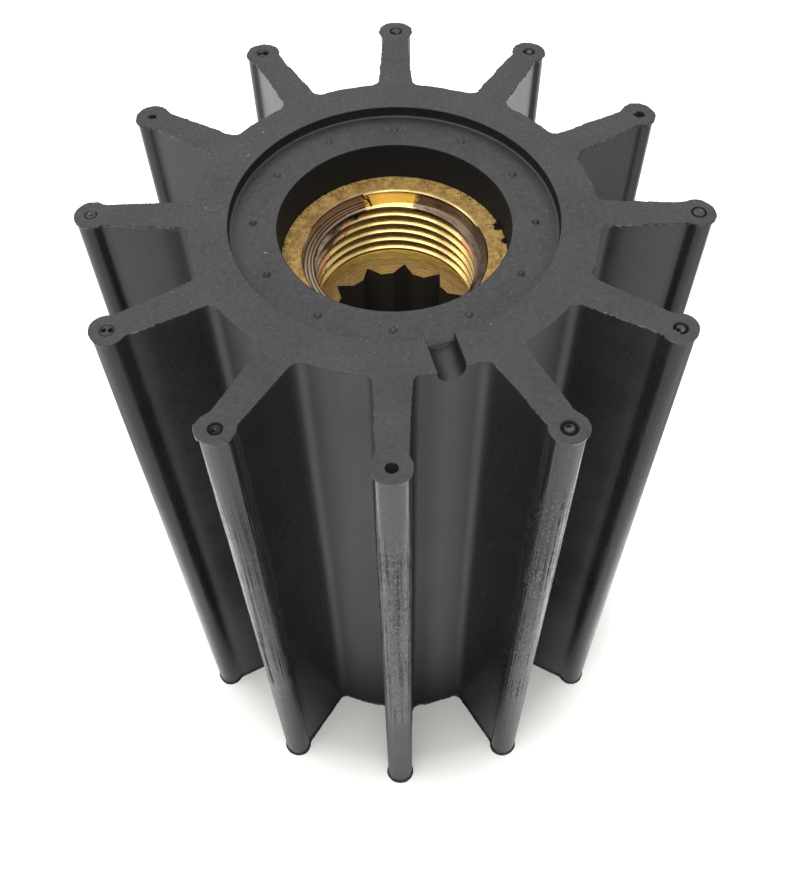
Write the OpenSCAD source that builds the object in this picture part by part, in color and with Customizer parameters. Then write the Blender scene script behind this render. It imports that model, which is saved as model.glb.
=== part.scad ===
// Flexible pump impeller: a rubber body with straight bulb-tipped blades, moulded
// round a splined brass insert that has a puller thread in its upper end.
// Millimetres. The shaft axis is Z, the origin is the centre of the bottom face,
// and blade 0 points along +Y.

/* [Rubber body] */
// Length of the rubber body along the shaft
body_len = 120; // [60:0.5:160]
// Diameter over the tips of the blades
tip_d = 95; // [84:0.5:120]
// Diameter of the hub between the blades
hub_d = 60.4; // [56:0.2:68]

/* [Blades] */
// Number of blades
blade_count = 12; // [8:1:14]
// Blade thickness where it leaves the hub
blade_root_t = 5; // [4:0.1:7]
// Blade thickness at the neck, just inside the bulb
blade_neck_t = 3.9; // [3:0.1:4.6]
// Diameter of the round bulb along the tip
bulb_d = 5.1; // [4.8:0.1:8]
// Radius of the hollow that blends the neck into the bulb
neck_blend_r = 2; // [0.5:0.1:4]
// Radius of the fillet between blade and hub
root_fillet_r = 1.8; // [0.5:0.1:3]

/* [End faces] */
// Diameter of the shallow recess in each end face
recess_d = 49.2; // [42:0.1:54]
// Depth of that recess
recess_depth = 1.9; // [1:0.1:4]
// Radius of the corner between the recess wall and its floor
recess_corner_r = 0.5; // [0.2:0.1:0.9]
// Width of the drain groove across the rim of the upper face
groove_w = 4; // [2.4:0.1:5.4]
// Depth of the drain groove at its round bottom
groove_depth = 2.8; // [2.7:0.05:5]
// How far the groove bites into the recess floor, inside the recess wall
groove_bite = 0.3; // [0.2:0.1:2]
// Which gap between two blades the groove opens into, counted from blade 0
groove_gap = 6; // [0:1:7]

/* [Moulding marks] */
// Diameter of the pips on the recess floor, one in line with each blade
floor_pip_d = 1.2; // [0.6:0.1:2]
// Height of those pips
floor_pip_h = 0.35; // [0.2:0.05:0.8]
// Outer diameter of the ring mark on the end of each bulb
bulb_mark_d = 2; // [1.4:0.1:3]
// Depth of the ring mark
bulb_mark_depth = 0.35; // [0.2:0.05:0.8]
// Diameter of the nub left standing in the ring mark
bulb_nub_d = 0.9; // [0.4:0.1:1.2]

/* [Insert] */
// Outer diameter of the insert, and of the rubber bore that grips it
insert_d = 35; // [32:0.2:40]
// Distance from each end of the rubber body to the insert's end face
insert_setback = 8.2; // [3:0.1:15]
// Width of the bevel round the mouth at the upper end
mouth_bevel = 0.3; // [0.2:0.1:1]

/* [Puller thread] */
// Diameter of the plain counterbore above the thread
counterbore_d = 28.4; // [27.2:0.1:30]
// Depth of the counterbore
counterbore_depth = 1.7; // [1:0.05:5]
// Diameter over the crests of the thread
thread_bore_d = 25; // [25:0.1:27]
// Length of the threaded stretch
thread_len = 10.65; // [6:0.05:20]
// Diameter of the relief groove below the thread
relief_d = 28.4; // [27.2:0.1:30]
// Length of the relief groove
relief_len = 2.8; // [1:0.1:5]

/* [Spline] */
// Number of grooves in the spline
spline_count = 12; // [8:1:14]
// Diameter at the bottom of the spline grooves
spline_root_d = 24.8; // [24:0.1:25]
// Diameter over the lands between the grooves
spline_land_d = 20.7; // [19.8:0.1:22]
// Angle between the two sides of a groove
spline_angle = 76; // [60:1:88]
// Turn of the spline against the blades
spline_turn = -6.4; // [-15:0.1:15]
// Width of the lead-in bevel at the lower end of the spline
spline_lead = 1.2; // [0.4:0.1:2]

/* [Hidden] */
$fn = 96;
rubber_colour = [0.2, 0.2, 0.21];
brass_colour = [0.78, 0.62, 0.3];
// How far a cutter reaches past the face that it opens
cut_over = 1;

tip_r = tip_d / 2;
hub_r = hub_d / 2;
bulb_r = bulb_d / 2;
bulb_centre_r = tip_r - bulb_r;
// The neck thickness is measured where the bulb would begin without its blend
neck_r = bulb_centre_r - bulb_r;
blade_pitch = 360 / blade_count;
recess_r = recess_d / 2;
bore_r = insert_d / 2;
floor_z = body_len - recess_depth;
// The floor pips stand half way between the bore and the recess wall
floor_pip_r = (bore_r + recess_r) / 2;
groove_turn = (groove_gap + 0.5) * blade_pitch;

insert_z0 = insert_setback;
insert_z1 = body_len - insert_setback;
thread_z1 = insert_z1 - counterbore_depth;
thread_z0 = thread_z1 - thread_len;
shoulder_z = thread_z0 - relief_len;
spline_root_r = spline_root_d / 2;
spline_land_r = spline_land_d / 2;

// The right-hand flank of blade 0 is a straight line from the hub to the neck
flank_start = [blade_root_t / 2, hub_r];
flank_end = [blade_neck_t / 2, neck_r];
flank_dir = (flank_end - flank_start) / norm(flank_end - flank_start);
// Unit normal of the flank, pointing out of the blade, and its distance from the axis
flank_out = [flank_dir[1], -flank_dir[0]];
flank_off = flank_out * flank_start;

// Centre of the root fillet: its radius away from the flank and from the hub circle
root_off = flank_off + root_fillet_r;
root_c = flank_out * root_off
    + flank_dir * sqrt(pow(hub_r + root_fillet_r, 2) - pow(root_off, 2));

// Centre of the neck blend: its radius away from the flank and from the bulb circle
neck_foot = flank_out * (flank_off + neck_blend_r) - [0, bulb_centre_r];
neck_along = neck_foot * flank_dir;
neck_back = sqrt(pow(neck_along, 2) - neck_foot * neck_foot + pow(bulb_r + neck_blend_r, 2));
neck_c = flank_out * (flank_off + neck_blend_r) - flank_dir * (neck_along + neck_back);

// The material between a hollow circle and the two curves that it touches.
// touch_a and touch_b are the points of contact, and inner is a point in the solid.
module hollow_fill(centre, radius, touch_a, touch_b, inner) {
    difference() {
        polygon([touch_a, centre, touch_b, inner]);
        translate(centre) circle(r = radius);
    }
}

module blade_side_fills() {
    bulb_c = [0, bulb_centre_r];
    hollow_fill(root_c, root_fillet_r, root_c - flank_out * root_fillet_r,
        root_c * hub_r / (hub_r + root_fillet_r), [0, hub_r - blade_root_t / 2]);
    hollow_fill(neck_c, neck_blend_r, neck_c - flank_out * neck_blend_r,
        bulb_c + (neck_c - bulb_c) * bulb_r / (bulb_r + neck_blend_r), bulb_c);
}

// Section of blade 0, from inside the hub to the bulb
module blade_section() {
    polygon([
        [-blade_root_t / 2, hub_r - blade_root_t], [-blade_root_t / 2, hub_r],
        [-blade_neck_t / 2, neck_r], [-blade_neck_t / 2, bulb_centre_r],
        [blade_neck_t / 2, bulb_centre_r], [blade_neck_t / 2, neck_r],
        [blade_root_t / 2, hub_r], [blade_root_t / 2, hub_r - blade_root_t]
    ]);
    translate([0, bulb_centre_r]) circle(d = bulb_d);
    blade_side_fills();
    mirror([1, 0]) blade_side_fills();
}

module at_each_blade() {
    for (k = [0 : blade_count - 1]) rotate(k * blade_pitch) children();
}

// Cutter for one end recess, mouth upwards, with the round corner at its floor
module recess_cutter() {
    rotate_extrude() {
        square([recess_r - recess_corner_r, recess_depth + cut_over]);
        translate([0, recess_corner_r])
            square([recess_r, recess_depth + cut_over - recess_corner_r]);
        translate([recess_r - recess_corner_r, recess_corner_r]) circle(r = recess_corner_r);
    }
}

// Cutter for the drain groove: straight sides and a half-round bottom
module groove_cutter() {
    inner_r = recess_r - groove_bite;
    reach = hub_r + cut_over - inner_r;
    rotate(groove_turn) translate([0, inner_r, body_len]) {
        translate([-groove_w / 2, 0, -groove_depth + groove_w / 2])
            cube([groove_w, reach, groove_depth + cut_over]);
        translate([0, 0, -groove_depth + groove_w / 2]) rotate([-90, 0, 0])
            cylinder(d = groove_w, h = reach);
    }
}

// Ring mark on the end of a bulb, with its nub left standing
module bulb_mark_cutter() {
    translate([0, bulb_centre_r, -bulb_mark_depth]) difference() {
        cylinder(d = bulb_mark_d, h = bulb_mark_depth + cut_over);
        translate([0, 0, -cut_over])
            cylinder(d = bulb_nub_d, h = bulb_mark_depth + cut_over);
    }
}

module rubber_body() {
    color(rubber_colour) {
        difference() {
            linear_extrude(body_len) {
                circle(r = hub_r);
                at_each_blade() blade_section();
            }
            translate([0, 0, -cut_over]) cylinder(r = bore_r, h = body_len + 2 * cut_over);
            translate([0, 0, floor_z]) recess_cutter();
            translate([0, 0, recess_depth]) mirror([0, 0, 1]) recess_cutter();
            groove_cutter();
            at_each_blade() {
                translate([0, 0, body_len]) bulb_mark_cutter();
                mirror([0, 0, 1]) bulb_mark_cutter();
            }
        }
        at_each_blade() translate([0, floor_pip_r, 0]) {
            translate([0, 0, floor_z - floor_pip_h])
                cylinder(d = floor_pip_d, h = 2 * floor_pip_h);
            translate([0, 0, recess_depth - floor_pip_h])
                cylinder(d = floor_pip_d, h = 2 * floor_pip_h);
        }
    }
}

// One spline groove, a V that opens towards the axis
module spline_groove() {
    depth = spline_root_r - spline_land_r + cut_over;
    half_w = depth * tan(spline_angle / 2);
    polygon([
        [0, spline_root_r],
        [-half_w, spline_root_r - depth], [half_w, spline_root_r - depth]
    ]);
}

module spline_section() {
    circle(r = spline_land_r);
    for (k = [0 : spline_count - 1]) rotate(spline_turn + k * 360 / spline_count)
        spline_groove();
}

module brass_insert() {
    color(brass_colour) difference() {
        translate([0, 0, insert_z0]) cylinder(r = bore_r, h = insert_z1 - insert_z0);
        translate([0, 0, insert_z0 - cut_over])
            linear_extrude(shoulder_z - insert_z0 + 2 * cut_over) spline_section();
        // Lead-in at the lower end of the spline
        translate([0, 0, insert_z0 - cut_over]) cylinder(
            h = spline_lead + cut_over,
            r1 = spline_land_r + spline_lead + cut_over, r2 = spline_land_r);
        translate([0, 0, shoulder_z]) cylinder(d = relief_d, h = relief_len);
        translate([0, 0, thread_z0 - cut_over])
            cylinder(d = thread_bore_d, h = thread_len + 2 * cut_over);
        translate([0, 0, thread_z1])
            cylinder(d = counterbore_d, h = counterbore_depth + cut_over);
        // Bevel round the mouth of the counterbore
        translate([0, 0, insert_z1 - mouth_bevel]) cylinder(
            h = mouth_bevel + cut_over, d1 = counterbore_d,
            d2 = counterbore_d + 2 * (mouth_bevel + cut_over));
    }
}

rubber_body();
brass_insert();
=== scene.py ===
# Looks of a flexible pump impeller: a moulded rubber body with twelve bulb-tipped blades,
# and a turned, threaded and broached brass insert down its middle.
# Metres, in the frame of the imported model: the shaft axis is Z and blade 0 points along +Y.
import math

import bpy
import bmesh
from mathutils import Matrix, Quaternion, Vector
from mathutils.geometry import delaunay_2d_cdt


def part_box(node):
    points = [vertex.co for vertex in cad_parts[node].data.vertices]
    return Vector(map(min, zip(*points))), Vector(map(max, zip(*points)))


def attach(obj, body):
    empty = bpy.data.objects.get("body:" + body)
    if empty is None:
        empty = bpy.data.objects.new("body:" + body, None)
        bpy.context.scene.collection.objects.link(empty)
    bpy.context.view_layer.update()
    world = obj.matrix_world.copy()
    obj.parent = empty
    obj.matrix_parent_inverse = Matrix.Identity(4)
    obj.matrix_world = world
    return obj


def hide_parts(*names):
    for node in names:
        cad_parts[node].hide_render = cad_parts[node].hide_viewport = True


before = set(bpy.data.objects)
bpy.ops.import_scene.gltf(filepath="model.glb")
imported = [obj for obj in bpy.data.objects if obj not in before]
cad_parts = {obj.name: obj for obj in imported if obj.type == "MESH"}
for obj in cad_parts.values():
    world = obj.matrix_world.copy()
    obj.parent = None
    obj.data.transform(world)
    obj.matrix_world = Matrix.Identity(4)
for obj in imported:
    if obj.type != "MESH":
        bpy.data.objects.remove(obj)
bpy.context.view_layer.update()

mm = 0.001

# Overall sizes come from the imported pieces
body_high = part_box("rubber_body")[1]
insert_low, insert_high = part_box("brass_insert")
body_len = body_high.z
tip_r = body_high.x
bore_r = insert_high.x

# Rubber body
hub_r = 30.2 * mm
blade_count = 12
blade_pitch = math.tau / blade_count
blade_root_t = 5.0 * mm
blade_neck_t = 3.9 * mm
bulb_r = 2.55 * mm
bulb_centre_r = tip_r - bulb_r
neck_r = bulb_centre_r - bulb_r
neck_blend_r = 2.0 * mm
root_fillet_r = 1.8 * mm
recess_r = 24.6 * mm
recess_depth = 1.9 * mm
recess_corner_r = 0.5 * mm
floor_z = body_len - recess_depth
pip_ring_r = (bore_r + recess_r) / 2
pip_r = 0.6 * mm
pip_h = 0.35 * mm
groove_w = 4.0 * mm
groove_depth = 2.8 * mm
groove_bite = 0.3 * mm
groove_turn = 6.5 * blade_pitch

# Moulding flash: the walls keep a little inside the solid, more so at the tips, and a ragged
# lip stands proud of them round both end faces
wall_inset = 0.03 * mm
tip_inset = 0.3 * mm
lip_w = 0.42 * mm
edge_r = 0.12 * mm

# Round patches of fine mesh, for the mark on each bulb and for the pips
mark_patch_r = 1.6 * mm
mark_rings = 16
mark_steps = 44
pip_patch_r = 0.9 * mm
pip_rings = 9
pip_steps = 20

# Brass insert
mouth_bevel = 0.3 * mm
counterbore_r = 14.2 * mm
counterbore_depth = 1.7 * mm
thread_crest_r = 12.5 * mm
thread_root_r = 13.5 * mm
thread_len = 10.65 * mm
thread_pitch = 1.85 * mm
relief_r = 14.2 * mm
relief_len = 2.8 * mm
spline_count = 12
spline_root_r = 12.4 * mm
spline_land_r = 10.35 * mm
spline_angle = math.radians(76)
spline_turn = math.radians(-6.4)
spline_lead = 1.2 * mm
thread_z1 = insert_high.z - counterbore_depth
thread_z0 = thread_z1 - thread_len
shoulder_z = thread_z0 - relief_len


class Nodes:
    """Adds nodes to one tree: each call sets a node's values and links what feeds it."""

    def __init__(self, tree):
        self.tree = tree

    def feed(self, node, feeds):
        """Sets or links a node's sockets, given as {name or number: value or output}."""
        for socket, value in feeds.items():
            if isinstance(value, bpy.types.NodeSocket):
                self.tree.links.new(value, node.inputs[socket])
            else:
                node.inputs[socket].default_value = value

    def add(self, kind, feeds=None, **settings):
        node = self.tree.nodes.new(kind)
        for name, value in settings.items():
            setattr(node, name, value)
        self.feed(node, feeds or {})
        return node

    def geo(self, kind, feeds=None, **settings):
        return self.add("GeometryNode" + kind, feeds, **settings).outputs[0]

    def math(self, operation, *values):
        return self.add("ShaderNodeMath", dict(enumerate(values)), operation=operation).outputs[0]

    def fold(self, operation, first, *others):
        """One operation on all of these values, from left to right."""
        for value in others:
            first = self.math(operation, first, value)
        return first

    def times(self, *values):
        return self.fold("MULTIPLY", *values)

    def plus(self, *values):
        return self.fold("ADD", *values)

    def most(self, *values):
        return self.fold("MAXIMUM", *values)

    def minus(self, first, second):
        return self.math("SUBTRACT", first, second)

    def rest(self, share):
        """What a share leaves of 1."""
        return self.minus(1.0, share)

    def below(self, value, limit):
        return self.math("LESS_THAN", value, limit)

    def spread(self, value, low, high, to_low=0.0, to_high=1.0):
        """Maps low..high onto to_low..to_high and clamps."""
        feeds = {0: value, 1: low, 2: high, 3: to_low, 4: to_high}
        return self.add("ShaderNodeMapRange", feeds).outputs[0]

    def vector(self, operation, first, second):
        """Vector arithmetic; a scale takes a number as its second value."""
        feeds = {0: first, ("Scale" if operation == "SCALE" else 1): second}
        return self.add("ShaderNodeVectorMath", feeds, operation=operation).outputs[0]

    def length(self, vector):
        return self.add("ShaderNodeVectorMath", {0: vector}, operation="LENGTH").outputs["Value"]

    def off_axis(self, where):
        """Distance of a place from the shaft axis."""
        return self.length(self.vector("MULTIPLY", where, (1, 1, 0)))

    def split(self, vector):
        return self.add("ShaderNodeSeparateXYZ", {0: vector}).outputs

    def joined(self, x=0.0, y=0.0, z=0.0):
        return self.add("ShaderNodeCombineXYZ", {0: x, 1: y, 2: z}).outputs[0]

    def grain(self, where, scale, detail=2.0, rough=0.5, seed=0.0):
        """Seeded noise, about 0.5 in the middle: the seed is its fourth coordinate."""
        feeds = {"Vector": where, "W": seed, "Scale": scale, "Detail": detail, "Roughness": rough}
        return self.add("ShaderNodeTexNoise", feeds, noise_dimensions="4D").outputs[0]

    def blend(self, share, first, second):
        """Mixes two colours: a share of 1 gives the second."""
        feeds = {0: share, 6: first, 7: second}
        return self.add("ShaderNodeMix", feeds, data_type="RGBA").outputs[2]

    def bump(self, height, distance):
        feeds = {"Height": height, "Distance": distance, "Strength": 1.0}
        return self.add("ShaderNodeBump", feeds).outputs[0]

    def named(self, name, kind):
        return self.geo("InputNamedAttribute", {"Name": name}, data_type=kind)

    def store(self, geometry, name, value, kind, domain):
        feeds = {"Geometry": geometry, "Name": name, "Value": value}
        return self.geo("StoreNamedAttribute", feeds, data_type=kind, domain=domain)


def mesh_object(name, mesh):
    obj = bpy.data.objects.new(name, mesh)
    bpy.context.scene.collection.objects.link(obj)
    return obj


def finished_mesh(name, shape):
    """Makes a mesh of a bmesh, which is freed."""
    mesh = bpy.data.meshes.new(name)
    shape.to_mesh(mesh)
    shape.free()
    return mesh


def closed_object(name, shape):
    """Makes an object of a closed bmesh, with its faces turned outward."""
    bmesh.ops.recalc_face_normals(shape, faces=shape.faces[:])
    return mesh_object(name, finished_mesh(name, shape))


def band(shape, low, high):
    """Quads between two closed loops of points."""
    corners = zip(low, low[1:] + low[:1], high[1:] + high[:1], high)
    return [shape.faces.new(quad) for quad in corners]


def prism(name, ends):
    """A closed solid between two flat loops of places."""
    shape = bmesh.new()
    low, high = [[shape.verts.new(place) for place in end] for end in ends]
    band(shape, low, high)
    shape.faces.new(low)
    shape.faces.new(high[::-1])
    return closed_object(name, shape)


def geometry_tree(name, inputs):
    """A geometry tree with named inputs, given as {name: kind of socket}."""
    tree = bpy.data.node_groups.new(name, "GeometryNodeTree")
    tree.interface.new_socket("Geometry", in_out="INPUT", socket_type="NodeSocketGeometry")
    for label, kind in inputs.items():
        tree.interface.new_socket(label, in_out="INPUT", socket_type="NodeSocket" + kind)
    tree.interface.new_socket("Geometry", in_out="OUTPUT", socket_type="NodeSocketGeometry")
    given = tree.nodes.new("NodeGroupInput").outputs
    result = tree.nodes.new("NodeGroupOutput").inputs[0]
    return tree, Nodes(tree), given, result


def shape_with(obj, tree, values):
    """Runs a geometry tree on an object with these input values, and keeps the plain mesh."""
    modifier = obj.modifiers.new(tree.name, "NODES")
    modifier.node_group = tree
    sockets = {s.name: s.identifier for s in tree.interface.items_tree if s.in_out == "INPUT"}
    for name, value in values.items():
        modifier[sockets[name]] = value
    seen = bpy.context.evaluated_depsgraph_get()
    mesh = bpy.data.meshes.new_from_object(
        obj.evaluated_get(seen), preserve_all_data_layers=True, depsgraph=seen)
    obj.modifiers.remove(modifier)
    mesh.name = obj.name
    obj.data = mesh


def round_the_shaft(n, shape, count, phase=0.0):
    """Instances of a shape, spaced evenly round the shaft axis, and the turn of each."""
    turn = n.plus(n.times(n.geo("InputIndex"), n.math("DIVIDE", math.tau, count)), phase)
    spin = n.add("FunctionNodeEulerToRotation", {0: n.joined(z=turn)}).outputs[0]
    places = n.geo("MeshLine", {"Count": count, "Offset": (0, 0, 0)})
    ring = n.geo("InstanceOnPoints", {"Points": places, "Instance": shape, "Rotation": spin})
    return ring, turn


# Outline of one blade pitch: points with the direction that faces away from the rubber

def arc(centre, radius, start, stop, steps, hollow=False):
    """Angles are from +Y, clockwise seen from above."""
    made = []
    for i in range(steps + 1):
        angle = start + (stop - start) * i / steps
        way = Vector((math.sin(angle), math.cos(angle)))
        made.append((centre + way * radius, -way if hollow else way))
    return made


def heading(way):
    return math.atan2(way.x, way.y)


def half_pitch():
    """From the middle of a gap, along the hub and the right flank of blade 0, to its tip."""
    flank_start = Vector((blade_root_t / 2, hub_r))
    flank_end = Vector((blade_neck_t / 2, neck_r))
    along = (flank_end - flank_start).normalized()
    out = Vector((along.y, -along.x))
    offset = out.dot(flank_start)
    hub_c = Vector((0, 0))
    bulb_c = Vector((0, bulb_centre_r))

    root_off = offset + root_fillet_r
    root_c = out * root_off + along * math.sqrt((hub_r + root_fillet_r) ** 2 - root_off ** 2)
    foot = out * (offset + neck_blend_r) - bulb_c
    ahead = foot.dot(along)
    back = math.sqrt(ahead ** 2 - foot.length_squared + (bulb_r + neck_blend_r) ** 2)
    neck_c = out * (offset + neck_blend_r) - along * (ahead + back)

    flank_a = root_c - out * root_fillet_r
    flank_b = neck_c - out * neck_blend_r
    root_way, neck_way = heading(root_c), heading(bulb_c - neck_c)
    hub_steps, root_steps, flank_steps, neck_steps, bulb_steps = 26, 12, 72, 10, 48
    side = arc(hub_c, hub_r, blade_pitch / 2, root_way, hub_steps)
    side += arc(root_c, root_fillet_r, root_way - math.pi, heading(-out), root_steps, True)[1:]
    side += [(flank_a.lerp(flank_b, i / flank_steps), out) for i in range(1, flank_steps + 1)]
    side += arc(neck_c, neck_blend_r, heading(-out), neck_way, neck_steps, True)[1:]
    side += arc(bulb_c, bulb_r, heading(neck_c - bulb_c), 0, bulb_steps)[1:]
    return side


def inset_at(place, out):
    """How far the wall stays inside the solid: most at the tip of the bulb."""
    at_tip = max(0, out.y) ** 2 if place.y > bulb_centre_r else 0
    return wall_inset + (tip_inset - wall_inset) * at_tip


def whole_pitch():
    """From the gap on the left of blade 0, over its tip, to the gap on its right."""
    right = half_pitch()
    left = [(Vector((-p.x, p.y)), Vector((-n.x, n.y))) for p, n in right]
    return left + right[-2::-1]


# Mesh of the upper half of one pitch, which the body's tree mirrors and repeats

# The third finish is the same rubber painted darker: painted shade in the bore and on the recess
# wall
wall_finish, end_finish, shaded_finish = 0.0, 1.0, 2.0


class Sheet:
    """Collects points and faces. Each point has the weight and direction of the lip there, and
    whether it is on the edge of the lip."""

    def __init__(self):
        self.mesh = bmesh.new()
        self.lip = self.mesh.verts.layers.float.new("lip")
        self.out = self.mesh.verts.layers.float_vector.new("out")
        self.edge = self.mesh.verts.layers.float.new("edge")
        self.finish = self.mesh.faces.layers.float.new("finish")

    def point(self, x, y, z, lip=0.0, out=(0, 0), edge=0.0):
        vert = self.mesh.verts.new((x, y, z))
        vert[self.lip] = lip
        vert[self.edge] = edge
        vert[self.out] = (out[0], out[1], 0)
        return vert

    def face(self, corners, finish):
        self.mesh.faces.new(corners)[self.finish] = finish

    def skin(self, rows, finish):
        """Joins rows of points, each as long as the next, with quads."""
        for low, high in zip(rows, rows[1:]):
            for corners in zip(low, low[1:], high[1:], high):
                self.face(corners, finish)

    def thin_out(self, fine, coarse, finish):
        """Joins a row of points to a row that has every second one of them."""
        for i in range(len(coarse) - 1):
            near = (coarse[i], fine[2 * i], fine[2 * i + 1], fine[2 * i + 2], coarse[i + 1])
            self.face(near, finish)

    def fill(self, outer, inner, radii, hole):
        """Triangles on a flat between two rows across the pitch, round a hole, which is a closed
        loop; there is a point for each of the radii on both sides of the pitch."""
        height = hole[0].co.z
        right, left = [[self.point(r * math.sin(half), r * math.cos(half), height) for r in radii]
                       for half in (blade_pitch / 2, -blade_pitch / 2)]
        border = outer + right + inner[::-1] + left[::-1]
        verts = border + hole
        flat = [v.co.xy for v in verts]
        edges = [(i, (i + 1) % len(border)) for i in range(len(border))]
        edges += [(len(border) + i, len(border) + (i + 1) % len(hole)) for i in range(len(hole))]
        _, _, faces, sources, _, _ = delaunay_2d_cdt(flat, edges, [], 1, 1e-8)
        holed = set(range(len(border), len(verts)))
        for face in faces:
            corners = [sources[i][0] for i in face]
            if not holed.issuperset(corners):
                self.face([verts[i] for i in corners], end_finish)

    def dish(self, x, y, z, reach, count, steps, height):
        """Rings of points round a centre, with a height for each radius; gives the outer ring."""
        angles = [math.tau * i / steps for i in range(steps)]
        rings = []
        for r in (reach * (i + 1) / count for i in range(count)):
            rings.append([self.point(x + r * math.sin(a), y + r * math.cos(a), z + height(r))
                          for a in angles])
        self.skin([ring + ring[:1] for ring in rings], end_finish)
        middle = self.point(x, y, z + height(0))
        for a, b in zip(rings[0], rings[0][1:] + rings[0][:1]):
            self.face((a, b, middle), end_finish)
        return rings[-1]

    def turned_rows(self, profile):
        """One row of points across the pitch for each (radius, height) of a profile."""
        steps = 12
        angles = [blade_pitch * (i / steps - 0.5) for i in range(steps + 1)]
        return [[self.point(r * math.sin(a), r * math.cos(a), z) for a in angles]
                for r, z in profile]


def eased_edge(r, z, size):
    """Profile of a softened edge, from a flat at height z to a wall down at radius r."""
    return [(r + size, z), (r + 0.3 * size, z - 0.3 * size), (r, z - size)]


def lay_walls(sheet):
    """Walls of hub and blade, from the end face to half height; gives their top row."""
    outline = whole_pitch()

    def row(points, depth, lip=0, back=0, edge=0):
        return [sheet.point(*(p - n * (inset_at(p, n) + back)), body_len - depth, lip, n, edge)
                for p, n in points]

    # Depth under the end face, weight of the lip, how far it is rounded back, share of its edge
    lip_rows = [(0, 1, 0.8 * edge_r, 0), (0.3 * edge_r, 1, 0.2 * edge_r, 1), (edge_r, 1, 0, 1),
                (0.32 * mm, 0.9, 0, 0.2), (0.46 * mm, 0.2, 0, 0), (0.6 * mm, 0, 0, 0)]
    fine = [row(outline, *values) for values in lip_rows]
    sheet.skin(fine, wall_finish)
    low = lip_rows[-1][0]
    depths = [1.2 * mm] + [low + (body_len / 2 - low) * share for share in (0.33, 0.66, 1)]
    plain = [row(outline[::2], depth) for depth in depths]
    sheet.thin_out(fine[-1], plain[0], wall_finish)
    sheet.skin(plain, wall_finish)
    return fine[0]


def lay_recess(sheet):
    """Recess, from the end face down its wall to the floor; gives its first and last rows."""
    steps = 5
    corner = []
    for a in (math.pi / 2 * i / steps for i in range(steps + 1)):
        corner.append((recess_r - recess_corner_r * (1 - math.cos(a)),
                       floor_z + recess_corner_r * (1 - math.sin(a))))
    rows = sheet.turned_rows(eased_edge(recess_r, body_len, edge_r) + corner)
    # The wall has the darker finish, painted shade, down to where the corner turns into the floor
    wall_top, wall_foot = 2, 5
    sheet.skin(rows[:wall_top + 1], end_finish)
    sheet.skin(rows[wall_top:wall_foot + 1], shaded_finish)
    sheet.skin(rows[wall_foot:], end_finish)
    return rows[0], rows[-1]


def upper_half_pitch():
    sheet = Sheet()
    wall_top = lay_walls(sheet)
    recess_rim, recess_foot = lay_recess(sheet)

    # Bore that grips the insert, in the darker finish: painted shade
    bore = sheet.turned_rows(eased_edge(bore_r, floor_z, edge_r)
                             + [(bore_r, insert_high.z), (bore_r, body_len / 2)])
    sheet.skin(bore, shaded_finish)

    # Flat of the end face, with room for the mark on the bulb
    mark = sheet.dish(0, bulb_centre_r, body_len, mark_patch_r, mark_rings, mark_steps, lambda r: 0)
    rim = [hub_r - 1.4 * mm, hub_r - 2.8 * mm, hub_r - 4.2 * mm]
    sheet.fill(wall_top, recess_rim, rim, mark)

    # Floor of the recess with its pip
    pip = sheet.dish(0, pip_ring_r, floor_z, pip_patch_r, pip_rings, pip_steps,
                     lambda r: pip_h * max(0, 1 - (r / pip_r) ** 2) ** 1.2)
    floor = [recess_r - 2.4 * mm, recess_r - 4.2 * mm]
    sheet.fill(recess_foot, bore[0], floor, pip)

    bmesh.ops.recalc_face_normals(sheet.mesh, faces=sheet.mesh.faces[:])
    ends = [f for f in sheet.mesh.faces if f[sheet.finish] == end_finish]
    if sum(f.normal.z * f.calc_area() for f in ends) < 0:
        bmesh.ops.reverse_faces(sheet.mesh, faces=sheet.mesh.faces[:])
    return finished_mesh("upper_half_pitch", sheet.mesh)


def groove_cutter():
    """Cutter for the drain groove: half-round bottom, and a soft edge at the rim."""
    half = groove_w / 2
    centre_z = body_len - groove_depth + half
    steps = 24
    bottom = [(half * math.cos(a), centre_z - half * math.sin(a))
              for a in (math.pi * i / steps for i in range(steps + 1))]
    soft = 0.15 * mm
    over = 1.0 * mm
    side = [(half + soft + over, body_len + over)] + eased_edge(half, body_len, soft)
    profile = side + bottom + [(-x, z) for x, z in side[::-1]]
    turn = Quaternion((0, 0, 1), groove_turn)
    return prism("groove_cutter", [
        [turn @ Vector((x, y, z)) for x, z in profile]
        for y in (recess_r - groove_bite, hub_r + over)])


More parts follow.
